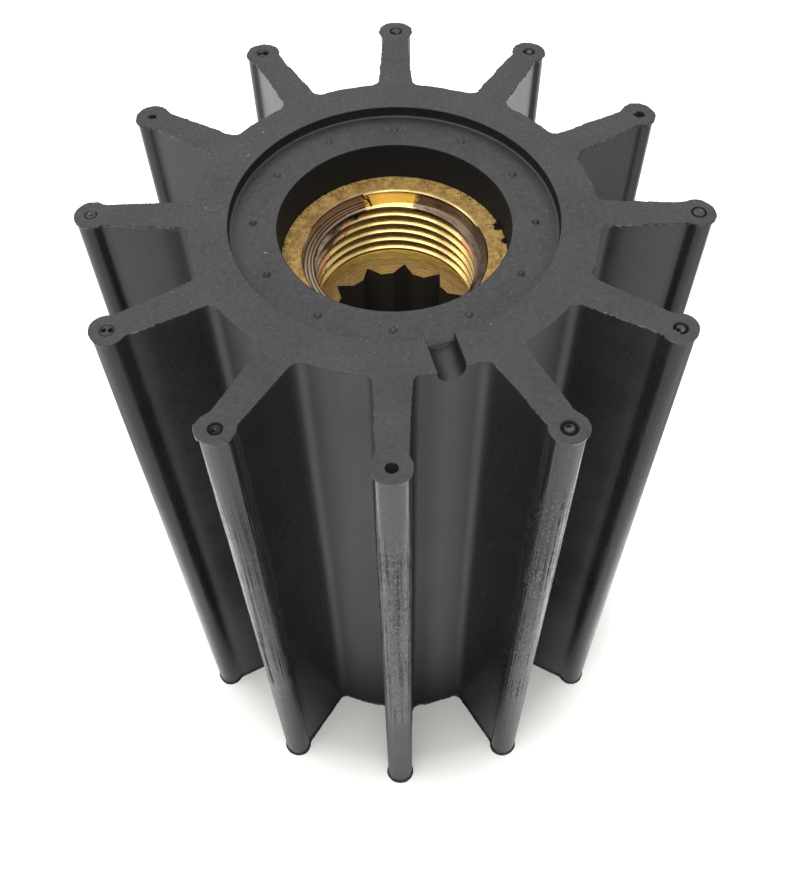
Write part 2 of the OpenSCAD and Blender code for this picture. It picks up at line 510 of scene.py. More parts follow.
def moulding_tree():
    """Mirrors and repeats the pitch, raises the ragged lip, and cuts the drain groove."""
    tree, n, given, result = geometry_tree("moulding", {
        "Blades": "Int", "Length": "Float", "Tip Radius": "Float", "Lip Width": "Float",
        "Lip Least": "Float", "Frayed Front": "Float", "Wall Wave": "Float", "Seed": "Float",
        "Cutter": "Object", "Wall Finish": "Material", "End Finish": "Material",
        "Bore Finish": "Material"})
    lower = n.geo("Transform", {"Geometry": given["Geometry"], "Scale": (1, 1, -1),
                                "Translation": n.joined(z=given["Length"])})
    lower = n.geo("FlipFaces", {0: lower})
    pitch = n.geo("JoinGeometry", {0: given["Geometry"]})
    tree.links.new(lower, pitch.node.inputs[0])

    ring, turn = round_the_shaft(n, pitch, given["Blades"])
    ring = n.store(ring, "turn", turn, "FLOAT", "INSTANCE")
    body = n.geo("RealizeInstances", {0: ring})
    feeds = {"Vector": n.named("out", "FLOAT_VECTOR"), "Angle": n.named("turn", "FLOAT")}
    out = n.add("ShaderNodeVectorRotate", feeds, rotation_type="Z_AXIS").outputs[0]
    body = n.store(body, "out", out, "FLOAT_VECTOR", "POINT")
    body = n.geo("MergeByDistance", {"Geometry": body, "Distance": 0.002 * mm})

    # The lip is ragged in long lobes and short frays
    where = n.geo("InputPosition")
    seed = given["Seed"]
    lobes = n.grain(where, 300, 1.0, 0.5, seed)
    frays = n.grain(where, 1300, 3.0, 0.75, seed)
    ragged = n.plus(n.times(lobes, 0.45), n.times(frays, 0.55))
    ragged = n.spread(ragged, 0.36, 0.62, given["Lip Least"], 1.0)
    # The front blades are trimmed, so their lip is even; the back's and the hub's foot are frayed
    y, height = n.split(where)[1:]
    frayed = n.spread(y, -22 * mm, 12 * mm, given["Frayed Front"], 1.0)
    at_foot = n.times(n.spread(n.off_axis(where), 36 * mm, 33 * mm), n.below(height, 5 * mm))
    frayed = n.most(frayed, at_foot)
    even_lip = 0.7
    ragged = n.plus(n.times(ragged, frayed), n.times(n.rest(frayed), even_lip))
    # Thin edges of the lip are painted pale here and there: wear, and highlights where the rounded
    # lip catches light
    pale_lip_edge = n.spread(n.grain(where, 170, 2.0, 0.6, n.plus(seed, 5)), 0.47, 0.57)
    pale_lip_edge = n.times(pale_lip_edge, n.spread(frays, 0.42, 0.62))
    body = n.store(body, "worn", n.times(pale_lip_edge, n.named("edge", "FLOAT")), "FLOAT", "POINT")
    # The lip stands out from the walls, which are a little wavy
    lip = n.times(n.named("lip", "FLOAT"), n.times(given["Lip Width"], ragged))
    long_way = n.vector("MULTIPLY", where, (1, 1, 0.12))
    wave = n.times(n.minus(n.grain(long_way, 210, 1.0, 0.5, seed), 0.5), given["Wall Wave"])
    shift = n.vector("SCALE", n.named("out", "FLOAT_VECTOR"), n.plus(lip, wave))
    body = n.geo("SetPosition", {"Geometry": body, "Offset": shift})
    # Nothing goes past the box of the solid
    corner = n.joined(given["Tip Radius"], given["Tip Radius"], given["Length"])
    held = n.vector("MINIMUM", n.geo("InputPosition"), corner)
    held = n.vector("MAXIMUM", held, n.vector("MULTIPLY", corner, (-1, -1, 0)))
    body = n.geo("SetPosition", {"Geometry": body, "Position": held})

    cutter = n.add("GeometryNodeObjectInfo", {0: given["Cutter"]}).outputs["Geometry"]
    body = n.geo("MeshBoolean", {"Mesh 1": body, "Mesh 2": cutter},
                 operation="DIFFERENCE", solver="EXACT")
    body = n.geo("RealizeInstances", {0: body})
    body = n.geo("SetMaterial", {"Geometry": body, "Material": given["Wall Finish"]})
    for number, finish in ((end_finish, "End Finish"), (shaded_finish, "Bore Finish")):
        chosen = n.math("COMPARE", n.named("finish", "FLOAT"), number, 0.25)
        body = n.geo("SetMaterial", {"Geometry": body, "Selection": chosen,
                                     "Material": given[finish]})
    tree.links.new(body, result)
    return tree


# Rings and pits of the marks on the ends of the bulbs, anticlockwise from blade 0, in millimetres
# from the bulb's centre: x to the right and y to the back. A ring is (radius, width, depth, x, y),
# with an open stretch from one angle to another if two more numbers follow. A pit is (x, y, half
# width, half height, depth, wear): a depth below zero is a nub, and wear is how pale it is.
bulb_marks = [
    ([(0.86, 0.34, 0.26, 0, 0)], [(-0.4, -0.4, 0.4, 0.35, 0.16, 0)]),
    ([(0.95, 0.3, 0.1, 0.0, 0)],
     [(0.35, 0.05, 0.6, 0.55, 0.36, 0), (-0.35, -0.1, 0.5, 0.45, 0.3, 0),
      (-0.05, 0.15, 0.2, 0.2, -0.1, 0.9)]),
    ([(0.8, 0.2, 0.05, 0, 0)],
     [(0.05, -0.05, 0.75, 0.5, 0.4, 0), (-0.5, -0.3, 0.2, 0.16, -0.06, 0.6)]),
    ([(0.85, 0.28, 0.13, 0, 0, 50, 110)],
     [(0.1, -0.1, 0.34, 0.3, 0.1, 0), (-0.3, 0.25, 0.16, 0.16, -0.05, 0.6)]),
    ([(1.0, 0.24, 0.12, 0, 0)],
     [(-0.45, 0.0, 0.4, 0.4, 0.34, 0), (0.5, 0.05, 0.34, 0.46, 0.34, 0)]),
    ([(0.84, 0.5, 0.2, 0, 0)],
     [(0, 0, 0.7, 0.66, 0.14, 0), (-0.3, -0.25, 0.4, 0.36, 0.1, 0),
      (0.02, 0.0, 0.28, 0.26, -0.14, 0.4)]),
    ([(0.75, 0.3, 0.1, 0, 0)],
     [(0, 0, 0.92, 0.78, 0.4, 0), (0.05, 0.05, 0.25, 0.23, -0.24, 0.5)]),
    ([(0.95, 0.62, 0.24, 0, 0)],
     [(-0.1, 0.3, 0.5, 0.4, 0.16, 0), (0.05, -0.15, 0.42, 0.4, -0.1, 0.12)]),
    ([(0.85, 0.5, 0.32, 0.05, 0.05, 200, 260)],
     [(-0.35, -0.25, 0.4, 0.36, 0.24, 0), (0.15, -0.35, 0.3, 0.24, -0.1, 0.3)]),
    ([(1.0, 0.36, 0.2, 0, 0)],
     [(0.3, 0.3, 0.16, 0.14, -0.06, 0.8), (-0.5, -0.2, 0.14, 0.14, -0.06, 0.6)]),
    ([], [(0.05, -0.05, 0.95, 0.8, 0.4, 0), (-0.5, 0.45, 0.24, 0.18, -0.1, 0.9)]),
    ([(0.74, 0.36, 0.28, 0.1, 0)],
     [(-0.85, 0.0, 0.28, 0.28, 0.24, 0), (0.1, 0.0, 0.26, 0.26, -0.04, 0.3)]),
]


def mark_at(mark, x, y):
    """Height and wear of one mark at a point, in millimetres and from -1 (painted shade) to 1
    (pale).
    """
    # Depth at which the painted shade in a groove or pit is darkest
    darkest_depth = 0.16
    rings, pits = mark
    height = 0
    worn = 0
    for radius, width, depth, cx, cy, *opening in rings:
        off = abs(math.hypot(x - cx, y - cy) - radius) / (width / 2)
        angle = math.degrees(math.atan2(y - cy, x - cx)) % 360
        if off < 1 and not (opening and opening[0] < angle < opening[1]):
            height -= depth * (1 - off ** 4)
            worn -= (1 - off ** 4) * min(1, depth / darkest_depth)
    for cx, cy, half_w, half_h, depth, wear in pits:
        off = math.hypot((x - cx) / half_w, (y - cy) / half_h)
        if off < 1:
            height -= depth * (1 - off ** 4)
            worn += (1 - off ** 4) * (wear * 2 if wear else -max(0, depth) / darkest_depth)
    return min(0, height), max(-1, min(1, worn))


# How dark the grime and painted shade round each pip is, clockwise from +Y
pip_soil_and_shade = [0.3, 0.35, 0.5, 0.7, 0.62, 0.45, 0.4, 0.55, 0.65, 0.72, 0.45, 0.35]


def pip_grime_and_shade(place):
    """Wear at a place on a recess floor: each pip is darkened round its foot, with grime and
    painted shade where it meets the floor, and the worst are dirty up to their tops."""
    number = round(math.atan2(place.x, place.y) / blade_pitch)
    angle = number * blade_pitch
    off = (place.xy - pip_ring_r * Vector((math.sin(angle), math.cos(angle)))).length / pip_r
    strength = pip_soil_and_shade[number % blade_count]
    middle, reach = (0.65, 0.5) if strength > 0.6 else (0.8, 0.35)
    return -strength * max(0, 1 - ((off - middle) / reach) ** 2)


def bulb_centre(blade):
    """Seen from above, with the blades counted anticlockwise from blade 0."""
    angle = math.pi / 2 + blade * blade_pitch
    return bulb_centre_r * Vector((math.cos(angle), math.sin(angle)))


def press_marks(mesh):
    """Presses the marks in the fine patches on the ends of the bulbs, with painted shade in their
    grooves and pits, and darkens the foot of the pips on the recess floors with grime and painted
    shade."""
    worn = mesh.attributes["worn"]
    near = 0.005 * mm
    for vert in mesh.vertices:
        reach = vert.co.xy.length
        if bore_r + 0.5 * mm < reach < recess_r - 0.6 * mm:
            worn.data[vert.index].value = pip_grime_and_shade(vert.co)
        on_top = vert.co.z > body_len - near
        if not (on_top or vert.co.z < near) or reach < bulb_centre_r - mark_patch_r:
            continue
        blade = round((math.atan2(vert.co.y, vert.co.x) - math.pi / 2) / blade_pitch)
        off = vert.co.xy - bulb_centre(blade)
        if off.length > 0.97 * mark_patch_r:
            continue
        height, wear = mark_at(bulb_marks[blade % blade_count], off.x / mm, off.y / mm)
        vert.co.z += height * mm * (1 if on_top else -1)
        worn.data[vert.index].value = wear


def add_shaving(mesh):
    """A sliver of flash that has come loose from the lip of the front left blade. It runs round
    the bulb, away from its wall, and gets thinner and lower."""
    centre = bulb_centre(5)
    shape = bmesh.new()
    shape.from_mesh(mesh)
    worn = shape.verts.layers.float["worn"]
    top = body_len - 0.1 * mm
    steps = 12
    rows = []
    for share in (i / steps for i in range(steps + 1)):
        angle = math.radians(214 - 50 * share)
        inner = bulb_r + (0.4 * share - 0.05) * mm
        outer = inner + (0.16 - 0.08 * share) * mm
        low = top - (0.6 - 0.4 * share) * mm
        outward = Vector((math.cos(angle), math.sin(angle)))
        row = [shape.verts.new((*(centre + r * outward), z))
               for r, z in ((inner, top), (outer, top), (outer, low), (inner, low))]
        for vert in row:
            vert[worn] = 1.0
        rows.append(row)
    faces = [shape.faces.new(rows[0]), shape.faces.new(rows[-1][::-1])]
    for a, b in zip(rows, rows[1:]):
        faces += band(shape, a, b)
    bmesh.ops.recalc_face_normals(shape, faces=faces)
    for face in faces:
        face.material_index = mesh.materials.find("rubber_wall")
    shape.to_mesh(mesh)
    shape.free()


def smooth_faces(mesh, sharp_degrees):
    mesh.shade_smooth()
    mesh.set_sharp_from_angle(angle=math.radians(sharp_degrees))


def rubber_body(wall_rubber, end_rubber, shaded_rubber):
    body = mesh_object("rubber_moulding", upper_half_pitch())
    cutter = groove_cutter()
    shape_with(body, moulding_tree(), {
        "Blades": blade_count, "Length": body_len, "Tip Radius": tip_r, "Lip Width": lip_w,
        "Lip Least": 0.15, "Frayed Front": 0.4, "Wall Wave": 0.12 * mm, "Seed": 3.0,
        "Cutter": cutter, "Wall Finish": wall_rubber, "End Finish": end_rubber,
        "Bore Finish": shaded_rubber})
    bpy.data.objects.remove(cutter)
    for name in ("lip", "out", "edge", "turn", "finish"):
        body.data.attributes.remove(body.data.attributes[name])
    press_marks(body.data)
    add_shaving(body.data)
    smooth_faces(body.data, 22)
    return body


# Brass insert

def lathe(name, profile, steps):
    """A closed ring turned from a closed profile of (radius, height) points."""
    angles = [math.tau * i / steps for i in range(steps)]
    shape = bmesh.new()
    rings = []
    for r, z in profile:
        rings.append([shape.verts.new((r * math.cos(a), r * math.sin(a), z)) for a in angles])
    for low, high in zip(rings, rings[1:] + rings[:1]):
        band(shape, low, high)
    return closed_object(name, shape)


def broach_tooth():
    """One tooth of the broach: a V prism that points along +Y, with a small flat on its tip."""
    over = 0.8 * mm
    tip_half = 0.1 * mm
    inner_r = spline_land_r - over
    half = (spline_root_r - inner_r) * math.tan(spline_angle / 2)
    section = [(-half, inner_r), (half, inner_r), (tip_half, spline_root_r),
               (-tip_half, spline_root_r)]
    return prism("broach_tooth", [
        [(x, y, z) for x, y in section] for z in (insert_low.z - over, shoulder_z + over)])


def machining_tree():
    """Cuts the puller thread and broaches the spline in the turned blank."""
    tree, n, given, result = geometry_tree("machining", {
        "Thread Pitch": "Float", "Thread Crest": "Float", "Thread Root": "Float",
        "Thread Start": "Float", "Thread Turns": "Float", "Thread Phase": "Float",
        "Tooth": "Object", "Teeth": "Int", "Teeth Turn": "Float", "Finish": "Material"})
    # Section of the thread: flat at its root, with sides at 30 degrees
    over = 0.25 * mm
    flat_share = 0.125
    slope = math.tan(math.radians(30))
    depth = n.plus(n.minus(given["Thread Root"], given["Thread Crest"]), over)
    flat = n.times(given["Thread Pitch"], flat_share)
    mouth = n.plus(flat, n.times(depth, 2 * slope))
    section = n.geo("CurvePrimitiveQuadrilateral", {
        "Height": depth, "Bottom Width": mouth, "Top Width": flat, "Offset": 0.0}, mode="TRAPEZOID")
    section = n.geo("Transform", {"Geometry": section, "Rotation": (0, 0, -math.pi / 2)})
    middle = n.minus(given["Thread Root"], n.times(depth, 0.5))
    helix = n.geo("CurveSpiral", {
        "Resolution": 96, "Reverse": True, "Rotations": given["Thread Turns"],
        "Start Radius": middle, "End Radius": middle,
        "Height": n.times(given["Thread Pitch"], given["Thread Turns"])})
    helix = n.geo("SetCurveNormal", {0: helix}, mode="Z_UP")
    helix = n.geo("CurveToMesh", {"Curve": helix, "Profile Curve": section, "Fill Caps": True})
    helix = n.geo("Transform", {"Geometry": helix, "Translation": n.joined(z=given["Thread Start"]),
                                "Rotation": n.joined(z=given["Thread Phase"])})

    tooth = n.add("GeometryNodeObjectInfo", {0: given["Tooth"]}).outputs["Geometry"]
    broach = round_the_shaft(n, tooth, given["Teeth"], given["Teeth Turn"])[0]
    broach = n.geo("RealizeInstances", {0: broach})

    brass = given["Geometry"]
    for cutter in (broach, helix):
        brass = n.geo("MeshBoolean", {"Mesh 1": brass, "Mesh 2": cutter},
                      operation="DIFFERENCE", solver="EXACT")
    brass = n.geo("RealizeInstances", {0: brass})
    brass = n.geo("SetMaterial", {"Geometry": brass, "Material": given["Finish"]})
    tree.links.new(brass, result)
    return tree


def brass_insert(finish):
    chip = 0.12 * mm
    top, foot = insert_high.z, insert_low.z
    profile = [
        (bore_r, foot + chip), (bore_r, top - chip), (bore_r - chip, top),
        (counterbore_r + mouth_bevel, top), (counterbore_r, top - mouth_bevel),
        (counterbore_r, thread_z1), (thread_crest_r + 2 * chip, thread_z1),
        (thread_crest_r, thread_z1 - 2 * chip), (thread_crest_r, thread_z0), (relief_r, thread_z0),
        (relief_r, shoulder_z), (spline_land_r, shoulder_z),
        (spline_land_r, foot + spline_lead), (spline_land_r + spline_lead, foot),
        (bore_r - chip, foot)]
    insert = lathe("insert", profile, 192)
    tooth = broach_tooth()
    # The helix runs out of the threaded stretch at both ends, by this share of a turn
    run_out = 0.8
    shape_with(insert, machining_tree(), {
        "Thread Pitch": thread_pitch, "Thread Crest": thread_crest_r, "Thread Root": thread_root_r,
        "Thread Start": thread_z0 - run_out * thread_pitch,
        "Thread Turns": thread_len / thread_pitch + 2 * run_out,
        "Thread Phase": math.radians(177.6), "Tooth": tooth, "Teeth": spline_count,
        "Teeth Turn": spline_turn, "Finish": finish})
    bpy.data.objects.remove(tooth)
    smooth_faces(insert.data, 30)
    return insert


# Finishes

def finish_nodes(name):
    """A new material, what adds its nodes, its shader, and the place on the piece."""
    material = bpy.data.materials.new(name)
    material.use_nodes = True
    n = Nodes(material.node_tree)
    shader = material.node_tree.nodes["Principled BSDF"]
    where = n.add("ShaderNodeTexCoord").outputs["Object"]
    return material, n, shader, where


def dots(n, where, spacing, size, share):
    """Scattered round dots: spacing and size in metres, and the share of places that has one."""
    cells = n.add("ShaderNodeTexVoronoi", {"Vector": where, "Scale": 1 / spacing})
    pick = n.add("ShaderNodeSeparateColor", {0: cells.outputs["Color"]}).outputs
    radius = n.times(n.spread(pick[1], 0, 1, 0.5, 1), size / spacing)
    inside = n.spread(cells.outputs["Distance"], radius, n.times(radius, 0.6))
    return n.times(inside, n.below(pick[0], share))


# Greys of the rubber, from dark to pale; some are painted shade and painted light
grime_and_shade = (0.004, 0.004, 0.004, 1)
painted_groove_shade = (0.008, 0.008, 0.008, 1)
painted_corner_shade = (0.012, 0.012, 0.012, 1)
front_bulb_wear_and_light = (0.05, 0.05, 0.0495, 1)
hub_dust_and_light = (0.06, 0.06, 0.059, 1)
painted_foot_highlight = (0.12, 0.12, 0.118, 1)
painted_groove_end_light = (0.13, 0.13, 0.128, 1)
painted_glint = (0.16, 0.16, 0.157, 1)
small_dust = (0.17, 0.17, 0.165, 1)
pale_wear_and_highlight = (0.2, 0.2, 0.19, 1)
large_dust = (0.3, 0.3, 0.29, 1)


class RubberPlace:
    """A place on the rubber, as nodes: its coordinates, its distance from the shaft axis, and
    the patches in which the rubber varies."""

    def __init__(self, n, where):
        self.where = where
        self.x, self.y, self.z = n.split(where)
        self.reach = n.off_axis(where)
        self.patches = n.grain(where, 90, 3.0, 0.6, 1.0)


def dusty_face(n, at, colour, amount):
    """Dust on an end face gathers in clumps, more on the left and less at the front."""
    clumps = n.minus(n.grain(at.where, 130, 2.0, 0.6, 5.0), n.times(at.x, 2.2))
    share = n.spread(clumps, 0.35, 0.75, 0.2 * amount, 1.4 * amount)
    share = n.times(share, n.spread(at.y, -34 * mm, -14 * mm, 0.2, 1))
    small = dots(n, at.where, 0.5 * mm, 0.13 * mm, share)
    large = dots(n, at.where, 1.9 * mm, 0.2 * mm, n.times(share, 0.3))
    colour = n.blend(n.times(small, 0.75), colour, small_dust)
    return n.blend(large, colour, large_dust)


def corner_shade_and_highlight(n, at, colour):
    """A recess floor has painted shade beside its wall, and a painted highlight line at the wall's
    foot, both most of all at the back."""
    floor = n.times(n.below(at.z, body_len - 1 * mm), n.below(at.reach, recess_r - 0.05 * mm),
                    n.spread(at.y, -4 * mm, 10 * mm, 0.1, 1))
    # Painted shade beside the wall
    grime = n.spread(at.reach, recess_r - 2.2 * mm, recess_r - 0.2 * mm, 0, 0.85)
    colour = n.blend(n.times(floor, grime), colour, painted_corner_shade)
    # A painted highlight line at the wall's foot
    line = n.spread(at.reach, recess_r - 0.2 * mm, recess_r - 0.15 * mm, 0, 0.45)
    line = n.times(line, n.spread(at.patches, 0.35, 0.55, 0.2, 1))
    return n.blend(n.times(floor, line), colour, painted_foot_highlight)


def hub_dust_and_painted_light(n, at, colour, at_hub):
    """The front of the hub is paler with dust and painted light, but has painted shade low down
    and in the front blade's painted shadow.
    """
    wiped = n.grain(n.vector("MULTIPLY", at.where, (1, 1, 0.05)), 300, 3.0, 0.6, 8.0)
    # Painted shadow of the front blade, in the corner to its right
    corner = n.times(n.spread(at.x, 0, 2 * mm), n.spread(at.x, 7.5 * mm, 5 * mm))
    # Paler front of the hub: dust and painted light, with painted shade near the floor
    dust_and_light = n.times(at_hub, n.spread(at.y, -14 * mm, -22 * mm),
                    n.spread(wiped, 0.35, 0.65, 0.8, 1.15),
                    n.spread(at.z, 2 * mm, 0.25 * body_len, 0.2, 1), n.rest(corner))
    return n.blend(dust_and_light, colour, hub_dust_and_light)


def groove_painted_shade_and_light(n, at, colour):
    """The drain groove has painted shade along both sides, and painted light at its inner end."""
    across = n.plus(n.times(at.x, math.cos(groove_turn)), n.times(at.y, math.sin(groove_turn)))
    # Painted shade along both sides of the groove
    painted_side_shade = n.most(n.spread(across, -0.4 * mm, -1.8 * mm, 0, 0.95),
                   n.spread(across, 0.2 * mm, 1.8 * mm, 0, 0.6))
    painted_side_shade = n.times(painted_side_shade, n.below(at.reach, hub_r - 0.1 * mm))
    colour = n.blend(painted_side_shade, colour, painted_groove_shade)
    # Painted light at the groove's inner end
    return n.blend(n.below(at.reach, recess_r - 0.2 * mm), colour, painted_groove_end_light)


def drawn_walls(n, at, colour, rough, shine, streak):
    """The hub is dull, and the bulbs are drawn lengthwise, the front ones polished shiny above the
    foot. Gives colour, roughness, shine and relief."""
    at_hub = n.spread(at.reach, 32.4 * mm, 30.5 * mm)
    on_bulb = n.spread(at.reach, 42 * mm, 43.5 * mm)
    colour = hub_dust_and_painted_light(n, at, colour, at_hub)
    colour = groove_painted_shade_and_light(n, at, colour)
    polished = n.times(on_bulb, n.spread(at.y, -28 * mm, -39 * mm))
    foot_top = n.plus(at.z, n.times(n.minus(at.patches, 0.5), 9 * mm))
    foot = n.times(on_bulb, n.spread(foot_top, 0.32 * body_len, 0.27 * body_len))
    # Front faces of the front bulbs painted paler: rubbed grey and painted light, less at the foot
    front = n.times(on_bulb, n.spread(at.y, -40.5 * mm, -43.5 * mm), n.spread(foot, 0, 1, 1, 0.2))
    colour = n.blend(front, colour, front_bulb_wear_and_light)
    rough = n.minus(n.plus(rough, n.times(at_hub, 0.2)), n.times(polished, 0.15))

    # Lines and grain drawn down the bulbs, most of all on the front ones
    drawn = n.grain(n.vector("MULTIPLY", at.where, (1, 1, 0.012)), 1900, 3.0, 0.65, 3.0)
    specks = n.grain(n.vector("MULTIPLY", at.where, (1, 1, 0.6)), 2600, 2.0, 0.6, 9.0)
    lines = n.times(on_bulb, n.spread(at.z, 0.93 * body_len, 0.82 * body_len, 0.2, 1),
                    n.spread(foot, 0, 1, 1, 0.4), n.spread(at.patches, 0.35, 0.6, 0.5, 1),
                    n.spread(at.y, -25 * mm, -38 * mm, 0.25, 1))
    grainy = n.times(lines, n.spread(at.x, -25 * mm, 0, 0.3, 1))
    scored = n.times(lines, n.spread(drawn, 0.49, 0.41))
    speckled = n.times(grainy, n.spread(specks, 0.52, 0.42))
    # Painted glints: pale specks in the grain of the bulbs, most of all the front ones
    bright = n.times(grainy, n.spread(specks, 0.57, 0.63))
    colour = n.blend(n.times(bright, 0.8), colour, painted_glint)
    worn_off = n.plus(scored, n.times(speckled, 0.6))
    rough = n.plus(rough, n.times(worn_off, 0.2))
    unrubbed = n.times(n.minus(on_bulb, polished), 0.4)
    dull_foot = n.times(foot, n.spread(at.x, -25 * mm, 25 * mm, 0.55, 0.3))
    shine = n.spread(n.most(worn_off, unrubbed, dull_foot), 0, 1, shine, 0.05 * shine)
    relief = n.plus(n.times(drawn, n.times(lines, streak)), n.times(specks, n.times(grainy, 0.4)))
    return colour, rough, shine, relief


def moulded_rubber(name, tone, rough, shine, streak=0.0, dust=0.0):
    """Black rubber: tone is its grey, rough its roughness, shine its specular level, streak the
    strength of the draw marks, and dust its amount; streak also brings the walls' painted light and
    shade, and dust the recess corner's painted shade."""
    material, n, shader, where = finish_nodes(name)
    at = RubberPlace(n, where)
    dark = (tone * 0.72, tone * 0.73, tone * 0.74, 1)
    light = (tone * 1.28, tone * 1.28, tone * 1.27, 1)
    mixed = n.plus(n.times(at.patches, 0.4), n.times(n.grain(where, 1400, 3.0, 0.65, 4.0), 0.6))
    colour = n.blend(n.spread(mixed, 0.37, 0.63), dark, light)
    if dust:
        colour = dusty_face(n, at, colour, dust)
        colour = corner_shade_and_highlight(n, at, colour)
    # Pale with wear and with painted highlights on lip edges, dark with grime and painted shade in
    # marks and round pips
    worn = n.add("ShaderNodeAttribute", attribute_name="worn").outputs["Fac"]
    colour = n.blend(n.spread(worn, 0, 1, 0, 0.85), colour, pale_wear_and_highlight)
    colour = n.blend(n.spread(worn, 0, -1, 0, 0.9), colour, grime_and_shade)
    rough = n.spread(at.patches, 0.3, 0.7, rough - 0.05, rough + 0.05)
    if streak:
        colour, rough, shine, relief = drawn_walls(n, at, colour, rough, shine, streak)
    else:
        shine = n.spread(worn, 0, -1, shine, 0.1 * shine)
        relief = n.times(n.grain(where, 2600, 3.0, 0.6, 2.0), 0.4)
    n.feed(shader, {"Base Color": colour, "Roughness": rough, "Specular IOR Level": shine,
                    "IOR": 1.5, "Normal": n.bump(relief, 0.15 * mm)})
    return material


# Depths on the insert, in millimetres below the end of the rubber
top_deep = (body_len - insert_high.z) / mm
thread_deep = (body_len - thread_z1) / mm
relief_deep = (body_len - thread_z0) / mm
shoulder_deep = (body_len - shoulder_z) / mm

# Colours of the brass, clean and tarnished, and painted shade in the bore and in a dent
golden = (0.88, 0.69, 0.30, 1)
sandy = (0.52, 0.36, 0.13, 1)
deep_gold = (0.86, 0.52, 0.1, 1)
bright_cut = (0.95, 0.76, 0.36, 1)
dull_cut = (0.52, 0.38, 0.15, 1)
pale_face = (0.95, 0.64, 0.21, 1)
brown_face = (0.42, 0.235, 0.07, 1)
brown_rim = (0.34, 0.185, 0.075, 1)
pit_brown = (0.06, 0.035, 0.015, 1)
thread_brown = (0.08, 0.05, 0.035, 1)
bevel_brown = (0.08, 0.05, 0.03, 1)
ledge_brown = (0.06, 0.04, 0.03, 1)
ledge_ring = (0.55, 0.42, 0.3, 1)
copper = (0.72, 0.34, 0.15, 1)
painted_dent_shade = (0.02, 0.014, 0.01, 1)
smear_black = (0.012, 0.012, 0.012, 1)
painted_bore_shade = (0.07, 0.062, 0.05, 1)


class BrassPlace:
    """A place on the insert, as nodes: its radius, its depth in millimetres, its angle in degrees
    from +Y, clockwise seen from above, the share of each zone there, and the patterns."""

    def __init__(self, n, where):
        self.n = n
        self.where = where
        x, y, self.z = n.split(where)
        self.plan = n.joined(x, y)
        self.radius = n.length(self.plan)
        self.deep = n.times(n.minus(body_len, self.z), 1 / mm)
        self.angle = n.math("DEGREES", n.math("ARCTAN2", x, y))
        self.rings = self.turned_grain(0.00002, 5200, 3.0, 0.7, 1.0)
        self.streaks = self.turned_grain(0.00006, 1000, 2.0, 0.6, 7.0)
        self.mottle = n.grain(where, 420, 4.0, 0.65, 2.0)
        self.blots = n.grain(where, 1500, 3.0, 0.6, 3.0)
        self.face = self.above(top_deep + 0.1, top_deep + 0.14)
        self.off_face = n.rest(self.face)
        self.bevel = self.above(top_deep + 0.3, top_deep + 0.4)
        self.thread = n.times(self.under(thread_deep - 0.1, thread_deep + 0.1),
                              self.above(relief_deep, relief_deep + 0.3))
        self.shoulder = self.under(relief_deep + 1.2, relief_deep + 1.6)
        self.bore = self.under(shoulder_deep + 0.03, shoulder_deep + 0.1)

    def turned_grain(self, stretch, *noise):
        """Noise drawn out along the cut of the lathe."""
        along = self.n.times(self.angle, stretch)
        return self.n.grain(self.n.joined(self.radius, along, self.z), *noise)

    def under(self, first, last):
        """Share that rises from one depth to another."""
        return self.n.spread(self.deep, first, last)

    def above(self, first, last):
        return self.n.rest(self.under(first, last))


def clean_brass(n, at):
    """Turned brass, deeper in colour between the crests, where light goes from flank to flank."""
    colour = n.blend(n.spread(at.rings, 0.35, 0.65, 0.0, 0.35), golden, sandy)
    groove = n.times(at.thread, n.spread(at.radius, thread_crest_r, thread_root_r, 0.1, 0.9))
    colour = n.blend(groove, colour, deep_gold)
    turned = n.blend(n.spread(at.rings, 0.38, 0.62), bright_cut, dull_cut)
    return n.blend(at.shoulder, colour, turned)


def aged_face(n, at):
    """The end face is mottled, pitted towards its rim, and browner towards its inner edge."""
    aged = n.plus(n.times(at.mottle, 0.5), n.plus(n.times(at.blots, 0.3), n.times(at.rings, 0.2)))
    colour = n.blend(n.spread(aged, 0.43, 0.57), pale_face, brown_face)
    least = n.spread(at.radius, 16.2 * mm, bore_r, 0.62, 0.54)
    pits = n.grain(at.where, 2300, 2.0, 0.6, 6.0)
    pits = n.spread(pits, least, n.plus(least, 0.04), 0, 0.85)
    colour = n.blend(pits, colour, pit_brown)
    from_axis = n.plus(at.radius, n.times(n.minus(at.mottle, 0.5), 3 * mm))
    return n.blend(n.spread(from_axis, 16.6 * mm, 14.4 * mm, 0, 0.45), colour, brown_rim)


def tarnish_share(n, at):
    """Tarnish on the left and, near the mouth, on the right as well: its share, and how many
    degrees a place is past its ragged edge."""
    stray = n.plus(n.times(n.minus(at.mottle, 0.5), 70), n.times(n.minus(at.blots, 0.5), 36))
    stray = n.times(stray, n.spread(at.deep, thread_deep, thread_deep + 1.2, 0.12, 1))
    shown = n.plus(at.angle, stray)
    left_edge = n.spread(at.deep, 10.2, 20, -20, -88)
    right_edge = n.plus(n.spread(at.deep, 10.7, 13.2, 13, 84), n.times(at.bevel, 50))
    past = n.most(n.minus(left_edge, shown), n.minus(shown, right_edge))
    wall = n.times(at.off_face, at.above(relief_deep - 0.2, relief_deep + 0.1))
    share = n.times(n.spread(past, 0, 2.5), wall)
    # The bevel of the mouth has stayed bright on its far left
    bright = n.times(at.off_face, at.bevel, n.spread(at.angle, -66, -76))
    return n.times(share, n.rest(bright)), past


